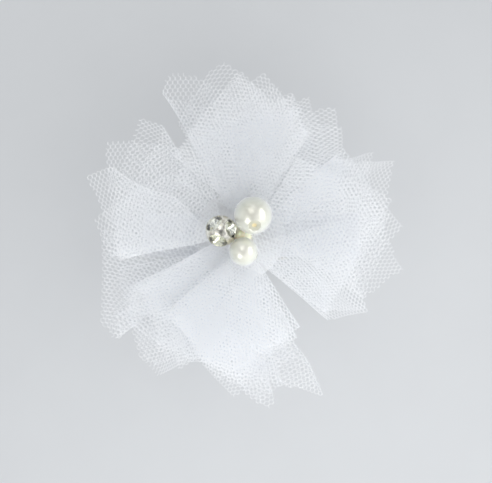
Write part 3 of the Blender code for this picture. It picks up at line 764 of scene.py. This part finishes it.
def make_stone(name, way, turn, surface):
    """A round cut stone with a table and facets above the girdle, and foil below it."""
    centre, _ = middle_of("ball_setting")
    tilt = way.to_track_quat("Z", "Y").to_matrix()
    rings = [(radius, height, offset, 8) for radius, height, offset in FACET_RINGS]
    rings += [(STONE_RADIUS, height, 0.0, 16) for height in GIRDLE]
    shape = bmesh.new()
    for radius, height, offset, count in rings:
        for side in range(count):
            angle = math.radians(turn + offset + 360 * side / count)
            point = Vector((radius * math.cos(angle), radius * math.sin(angle), height))
            shape.verts.new(centre + tilt @ point)
    shape.verts.new(centre + tilt @ Vector((0, 0, CULET)))
    bmesh.ops.convex_hull(shape, input=shape.verts)
    bmesh.ops.dissolve_limit(shape, angle_limit=math.radians(0.5), verts=shape.verts,
                             edges=shape.edges)
    bmesh.ops.recalc_face_normals(shape, faces=shape.faces)
    for face in shape.faces:
        face.material_index = int(face.normal.dot(way) < -0.1)
    mesh = bpy.data.meshes.new(name + "_cut")
    shape.to_mesh(mesh)
    shape.free()
    mesh.materials.append(surface)
    mesh.materials.append(FOIL)
    piece = link(bpy.data.objects.new(name + "_cut", mesh))
    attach(piece, "flower_jaw")
    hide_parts(name)


def merge_flat_faces(shape):
    """Joins double vertices, and faces that lie in one plane."""
    bmesh.ops.remove_doubles(shape, verts=shape.verts, dist=0.002 * MM)
    bmesh.ops.dissolve_limit(shape, angle_limit=math.radians(0.3), verts=shape.verts,
                             edges=shape.edges)


def round_edges(piece, angle, width, segments):
    """Rounds every edge sharper than an angle."""
    shape = bmesh.new()
    shape.from_mesh(piece.data)
    merge_flat_faces(shape)
    limit = math.radians(angle)
    edges = [edge for edge in shape.edges if len(edge.link_faces) == 2
             and edge.calc_face_angle(0.0) > limit]
    bmesh.ops.bevel(shape, geom=edges, offset=width, offset_type="OFFSET", segments=segments,
                    profile=0.5, affect="EDGES", clamp_overlap=True)
    bmesh.ops.recalc_face_normals(shape, faces=shape.faces)
    shape.to_mesh(piece.data)
    shape.free()


GLUE_HEIGHT = 3.8 * MM


def make_bead_glue():
    """Glue that sits under the beads and stands up a little between them."""
    centre, half = middle_of("bead_glue")
    low = centre.z - half.z
    radius = half.x
    top = GLUE_HEIGHT
    heights = ((0.0, top), (0.25, 0.96 * top), (0.42, 0.84 * top), (0.58, 0.64 * top),
               (0.74, 0.42 * top), (0.9, 0.25 * top), (0.98, 0.13 * top), (1.0, 0.06 * top),
               (0.96, 0.0), (0.0, 0.0))
    profile = [(share * radius, low + height) for share, height in heights]
    base = Vector((centre.x, centre.y, 0))
    vertices, faces = turned(profile, base, (0, 0, 1), 64)
    draw = random.Random(7)
    phases = [draw.uniform(0, 2 * math.pi) for _ in range(3)]
    shaped = []
    for point in vertices:
        angle = math.atan2(point.y - base.y, point.x - base.x)
        swell = sum(math.sin((2 + wave) * angle + phase) for wave, phase in enumerate(phases))
        shaped.append(base + (point - base) * (1 + 0.01 * swell * (point.z < low + 0.2 * top)))
    piece = mesh_object("bead_glue_drop", shaped, faces, [GLUE])
    turn_outwards(piece)
    finish_piece(piece, "bead_glue", "flower_jaw", 60.0)


for name, pearl in PEARLS.items():
    make_pearl(name, pearl)
make_ball()
ways = pocket_ways()
front_way = min((way for way in ways if way.z > 0), key=lambda way: way.y)
for index, way in enumerate(ways):
    surface = SMEARED if way is front_way else CRYSTAL
    make_stone(f"crystal_{index + 1}", way, STONE_TURN * index, surface)
make_bead_glue()


# ---------------------------------------------------------------- binding and felt

# Binding: thread of this radius in turns this far apart, wound unevenly round a core.
STRAND = 0.23 * MM
TURN_PITCH = 1.9 * STRAND
TURN_STEPS = 40
UNEVENNESS = 0.05 * MM
CORE_INSET = 0.1 * MM

# Felt: how deep its faces are pressed and its edge is nibbled, and its loose fibres.
FELT_PRESS = 0.05 * MM
FELT_NIBBLE = 0.012
FELT_EDGE = 0.15 * MM
FELT_RINGS = 20
FIBRES = 700
FIBRE_RADIUS = 0.022 * MM
FIBRE_LENGTH = 1.0 * MM
FIBRE_LIFT = 0.12 * MM


def make_binding():
    """Thread wound round the petal roots in close turns."""
    centre, half = middle_of("thread_binding")
    core = half.x - 1.6 * STRAND
    winding = core + 0.6 * STRAND
    low = centre.z - half.z
    high = centre.z + half.z
    climb = high - low - 2 * STRAND
    steps = int(climb / TURN_PITCH) * TURN_STEPS
    points = []
    for step in range(steps + 1):
        angle = 2 * math.pi * step / TURN_STEPS
        height = low + STRAND + climb * step / steps + UNEVENNESS * math.sin(2.3 * angle)
        points.append((centre.x + winding * math.cos(angle),
                       centre.y + winding * math.sin(angle), height))
    bottom = low + CORE_INSET
    top = high - CORE_INSET
    spool = turned([(0.0, bottom), (core, bottom), (core, top), (0.0, top)],
                   Vector((centre.x, centre.y, 0)), (0, 0, 1), 48)
    piece = mesh_object("thread_binding_wound",
                        *join(spool, rod(points, STRAND, 8, (0, 0, 1))), [THREAD])
    turn_outwards(piece)
    finish_piece(piece, "thread_binding", "flower_jaw", 60.0)


def make_felt():
    """A felt disc: uneven faces and edge, and loose fibres all over."""
    centre, half = middle_of("felt_base")
    radius = half.x
    low = centre.z - half.z
    high = centre.z + half.z
    rings = [(share * radius, low) for share in np.linspace(0, 0.97, FELT_RINGS)]
    rings += [(0.995 * radius, low + FELT_EDGE), (radius, centre.z),
              (0.995 * radius, high - FELT_EDGE)]
    rings += [(share * radius, high) for share in np.linspace(0.97, 0, FELT_RINGS)]
    vertices, faces = turned(rings, Vector((centre.x, centre.y, 0)), (0, 0, 1), 96)
    draw = random.Random(5)
    pressed = []
    for point in vertices:
        reach = math.hypot(point.x - centre.x, point.y - centre.y)
        inset = FELT_PRESS * draw.random()
        side = 1 if point.z > centre.z else -1
        swell = 1 - FELT_NIBBLE * draw.random() if reach > 0.9 * radius else 1.0
        pressed.append((centre.x + (point.x - centre.x) * swell,
                        centre.y + (point.y - centre.y) * swell, point.z - side * inset))
    fibres = []
    for _ in range(FIBRES):
        turn = draw.uniform(0, 2 * math.pi)
        reach = radius * min(1.0, 1.12 * math.sqrt(draw.random()))
        spot = Vector((centre.x + reach * math.cos(turn), centre.y + reach * math.sin(turn),
                       draw.choice((low, high)) if reach < radius
                       else draw.uniform(low, high)))
        lean = Vector((draw.uniform(-1, 1), draw.uniform(-1, 1), draw.uniform(-0.25, 0.25)))
        lift = Vector((0, 0, FIBRE_LIFT if spot.z > centre.z else -FIBRE_LIFT))
        curl = Vector((-lean.y, lean.x, 0)) * draw.uniform(-0.3, 0.3)
        fibre = [spot, spot + 0.4 * FIBRE_LENGTH * lean + lift,
                 spot + 0.75 * FIBRE_LENGTH * (lean + curl) + lift,
                 spot + FIBRE_LENGTH * (lean + 2 * curl)]
        fibres.append(rod(fibre, FIBRE_RADIUS, 4, (0.3, 0.2, 1.0)))
    piece = mesh_object("felt_base_disc", *join((pressed, faces), *fibres), [FELT])
    turn_outwards(piece)
    finish_piece(piece, "felt_base", "flower_jaw", 60.0)


make_binding()
make_felt()


# ---------------------------------------------------------------- clip

ARM_ROUNDING = 0.1 * MM
RIVET_HEAD = 0.45 * MM
SHANK_SHARE = 0.57

# The spring: its wire's radius, how many turns it has, and how far along X its legs leave them.
WIRE_RADIUS = 0.35 * MM
COIL_TURNS = 4.5
COIL_STEPS = 36
LEG_START = 1.2 * MM

RIB_PITCH = 0.22 * MM
RIB_HEIGHT = 0.045 * MM


def worked_copy(name, suffix, material):
    """A copy of a CAD node's shape, to be worked further."""
    piece = link(bpy.data.objects.new(name + suffix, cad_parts[name].data.copy()))
    piece.data.materials.clear()
    piece.data.materials.append(material)
    return piece


def make_arm(name, body):
    """A stamped arm with its edges rounded."""
    piece = worked_copy(name, "_stamped", STEEL)
    round_edges(piece, 28.0, ARM_ROUNDING, 2)
    piece.data.shade_smooth()
    finish_piece(piece, name, body, 30.0)


def make_pin():
    """The hinge pin with two domed rivet heads."""
    centre, half = middle_of("hinge_pin")
    head = half.x
    shank = SHANK_SHARE * head
    steps = 6
    ends = [(0.0, half.y)]
    for step in range(1, steps + 1):
        angle = math.pi / 2 * step / steps
        ends.append((head * math.sin(angle), half.y - 0.8 * RIVET_HEAD * (1 - math.cos(angle))))
    ends += [(head, half.y - RIVET_HEAD), (shank, half.y - RIVET_HEAD)]
    profile = ends + [(radius, -height) for radius, height in reversed(ends)]
    piece = mesh_object("hinge_pin_riveted", *turned(profile, centre, (0, 1, 0), 48), [STEEL])
    turn_outwards(piece)
    finish_piece(piece, "hinge_pin", "lower_jaw", 40.0)


def make_spring():
    """The torsion spring: smooth round wire with a leg against each arm."""
    centre, half = middle_of("torsion_spring")
    pin, _ = middle_of("hinge_pin")
    side = half.y - WIRE_RADIUS
    coil = pin.x - (centre.x - half.x) - WIRE_RADIUS
    leg_end = centre.x + half.x - WIRE_RADIUS
    leg_start = pin.x + LEG_START
    rise = half.z - WIRE_RADIUS - 0.02 * MM
    leg = [(leg_end, rise), (0.5 * (leg_end + leg_start), 0.5 * (rise + coil)),
           (leg_start, coil)]
    points = [(x, -side, pin.z - height) for x, height in leg]
    steps = int(COIL_TURNS * COIL_STEPS)
    for step in range(steps + 1):
        share = step / steps
        angle = -math.pi / 2 - 2 * math.pi * COIL_TURNS * share
        points.append((pin.x + coil * math.cos(angle), side * (2 * share - 1),
                       pin.z + coil * math.sin(angle)))
    points += [(x, side, pin.z + height) for x, height in reversed(leg)]
    piece = mesh_object("torsion_spring_wire", *rod(points, WIRE_RADIUS, 12, (0, 1, 0)), [WIRE])
    turn_outwards(piece)
    piece.data.set_sharp_from_angle(angle=math.radians(50.0))
    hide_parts("torsion_spring")
    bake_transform(piece)


def make_ribbon():
    """The lining: a grosgrain ribbon with ribs across it."""
    piece = worked_copy("ribbon_lining", "_ribbed", RIBBON)
    low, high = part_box("ribbon_lining")
    shape = bmesh.new()
    shape.from_mesh(piece.data)
    merge_flat_faces(shape)
    count = int((high[0] - low[0]) / RIB_PITCH)
    for index in range(1, count):
        everything = shape.verts[:] + shape.edges[:] + shape.faces[:]
        bmesh.ops.bisect_plane(shape, geom=everything, dist=0.0005 * MM,
                               plane_co=(low[0] + index * RIB_PITCH, 0, 0), plane_no=(1, 0, 0))
    shape.normal_update()
    for vertex in shape.verts:
        index = round((vertex.co.x - low[0]) / RIB_PITCH)
        near = abs(vertex.co.x - low[0] - index * RIB_PITCH) < 0.01 * RIB_PITCH
        if near and index % 2:
            vertex.co += RIB_HEIGHT * Vector((vertex.normal.x, 0, vertex.normal.z))
    bmesh.ops.recalc_face_normals(shape, faces=shape.faces)
    shape.to_mesh(piece.data)
    shape.free()
    piece.data.shade_smooth()
    finish_piece(piece, "ribbon_lining", "flower_jaw", 50.0)


def make_clip_glue():
    """The flattened glue pad between the ribbon and the felt."""
    centre, half = middle_of("clip_glue")
    profile = [(0.0, -half.z), (0.55, -half.z), (0.88, -half.z), (0.96, -0.7 * half.z),
               (0.995, -0.2 * half.z), (1.0, 0.2 * half.z), (0.96, 0.75 * half.z),
               (0.88, half.z), (0.5, half.z), (0.0, half.z)]
    vertices, faces = turned(profile, Vector(), (0, 0, 1), 72)
    shaped = []
    for point in vertices:
        angle = math.atan2(point.y, point.x)
        edge = 1 - 0.025 * (1 + math.sin(3 * angle + 1.0) * math.sin(7 * angle))
        shaped.append(centre + Vector((point.x * half.x * edge, point.y * half.y * edge, point.z)))
    piece = mesh_object("clip_glue_pad", shaped, faces, [GLUE])
    turn_outwards(piece)
    finish_piece(piece, "clip_glue", "flower_jaw", 60.0)


make_arm("lower_arm", "lower_jaw")
make_arm("upper_arm", "flower_jaw")
make_pin()
make_spring()
make_ribbon()
make_clip_glue()


# ---------------------------------------------------------------- stage

CAMERA_DISTANCE = 0.6
VIEW_CENTRE = (1.26 * MM, -1.37 * MM, 14.0 * MM)
VIEW_WIDTH = 103.6 * MM
SENSOR_WIDTH = 36.0


def make_floor():
    size = FLOOR_HALF_SIZE
    floor = mesh_object("floor", [(-size, -size, 0), (size, -size, 0), (size, size, 0),
                                  (-size, size, 0)], [(0, 1, 2, 3)], [floor_material()])
    floor.location.z = -FLOOR_GAP


def area_light(name, azimuth, elevation, distance, width, height, power, mirrored=True):
    """A softbox that faces the flower from an azimuth and an elevation."""
    data = bpy.data.lights.new(name, "AREA")
    data.shape = "RECTANGLE"
    data.size = width
    data.size_y = height
    data.energy = power
    light = link(bpy.data.objects.new(name, data))
    turn = math.radians(azimuth)
    rise = math.radians(elevation)
    way = Vector((math.cos(rise) * math.cos(turn), math.cos(rise) * math.sin(turn),
                  math.sin(rise)))
    light.location = way * distance
    light.rotation_euler = way.to_track_quat("Z", "Y").to_euler()
    light.visible_glossy = mirrored


def make_world():
    """A bright uneven room that is darker straight overhead."""
    world = bpy.data.worlds.new("studio")
    world.use_nodes = True
    background = world.node_tree.nodes["Background"]
    background.inputs["Color"].default_value = (0.95, 0.975, 1.0, 1)
    tree = world.node_tree
    ways = node(tree, "ShaderNodeTexCoord").outputs["Generated"]
    height = node(tree, "ShaderNodeSeparateXYZ")
    tree.links.new(ways, height.inputs["Vector"])
    overhead = node(tree, "ShaderNodeMapRange", interpolation_type="SMOOTHSTEP", From_Min=0.88,
                    From_Max=0.985, To_Min=1.0, To_Max=0.3)
    tree.links.new(height.outputs["Z"], overhead.inputs["Value"])
    room = node(tree, "ShaderNodeTexNoise", Scale=3.0, Detail=1.0)
    tree.links.new(ways, room.inputs["Vector"])
    level = node(tree, "ShaderNodeMapRange", interpolation_type="SMOOTHSTEP", From_Min=0.38,
                 From_Max=0.6, To_Min=0.3, To_Max=1.0)
    tree.links.new(room.outputs["Fac"], level.inputs["Value"])
    light = node(tree, "ShaderNodeMath", operation="MULTIPLY")
    tree.links.new(overhead.outputs["Result"], light.inputs[0])
    tree.links.new(level.outputs["Result"], light.inputs[1])
    tree.links.new(light.outputs["Value"], background.inputs["Strength"])
    bpy.context.scene.world = world


def make_lights():
    area_light("window_right", azimuth=8, elevation=33, distance=0.7,
               width=0.72, height=0.36, power=1.7)
    area_light("softbox_back", azimuth=114, elevation=61, distance=0.7,
               width=0.36, height=0.46, power=0.5)
    area_light("softbox_front", azimuth=232, elevation=42, distance=0.7,
               width=0.42, height=0.34, power=0.95)
    area_light("key", azimuth=306, elevation=36, distance=0.45,
               width=0.4, height=0.4, power=1.22, mirrored=False)


def make_camera():
    """A camera that looks straight down on the flower."""
    data = bpy.data.cameras.new("camera")
    camera = link(bpy.data.objects.new("camera", data))
    data.sensor_width = SENSOR_WIDTH
    data.lens = SENSOR_WIDTH * CAMERA_DISTANCE / VIEW_WIDTH
    data.clip_start = 0.01
    camera.location = Vector(VIEW_CENTRE) + Vector((0, 0, CAMERA_DISTANCE))
    bpy.context.scene.camera = camera


def set_up_light_paths():
    """Enough bounces for white net in many layers, and a slightly soft picture."""
    scene = bpy.context.scene
    scene.view_settings.view_transform = "Standard"
    scene.cycles.max_bounces = 24
    scene.cycles.diffuse_bounces = 20
    scene.cycles.filter_width = 1.9


make_floor()
make_world()
make_lights()
make_camera()
set_up_light_paths()
